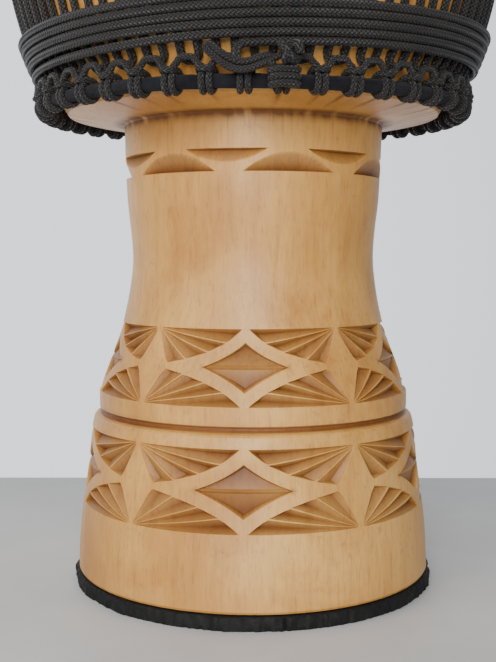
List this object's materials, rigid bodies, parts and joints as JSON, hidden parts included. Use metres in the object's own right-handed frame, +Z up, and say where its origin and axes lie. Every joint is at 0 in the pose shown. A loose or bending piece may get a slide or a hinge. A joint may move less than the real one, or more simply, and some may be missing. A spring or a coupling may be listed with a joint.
{
  "type": "djembe",
  "caption": "Rope-tuned goblet drum: a carved hollow log shell with a goatskin head, three rings, looped black rope lacing and a black rubber foot.",
  "frame": {"origin": "on the drum's axis, on the ground under the rubber foot", "axes": "+Z up along the drum's axis towards the head, -Y towards the tie-off knot side that is the front"},
  "size_m": [0.3708, 0.3701, 0.6086],
  "materials": {
    "wood": "satin varnish",
    "rubber": "matte, cut edge",
    "steel": "dull bar",
    "cloth": "matte cotton strip",
    "rope": "braided polyester, slight sheen",
    "skin": "shaved rawhide"
  },
  "bodies": {
    "root": {"wood_shell": "wood", "foot_rubber": "rubber", "bottom_ring": "steel", "bottom_ring_cloth": "cloth", "flesh_hoop": "steel", "crown_ring": "steel", "crown_ring_cloth": "cloth", "goatskin_head": "skin", "lower_cradle_rope": "rope", "upper_cradle_rope": "rope", "tension_rope": "rope", "rope_wraps": "rope", "tie_off_rope": "rope", "foot_nail_1": "steel", "foot_nail_2": "steel", "foot_nail_3": "steel", "foot_nail_4": "steel", "foot_nail_5": "steel", "foot_nail_6": "steel", "foot_nail_7": "steel", "foot_nail_8": "steel"}
  },
  "joints": []
}
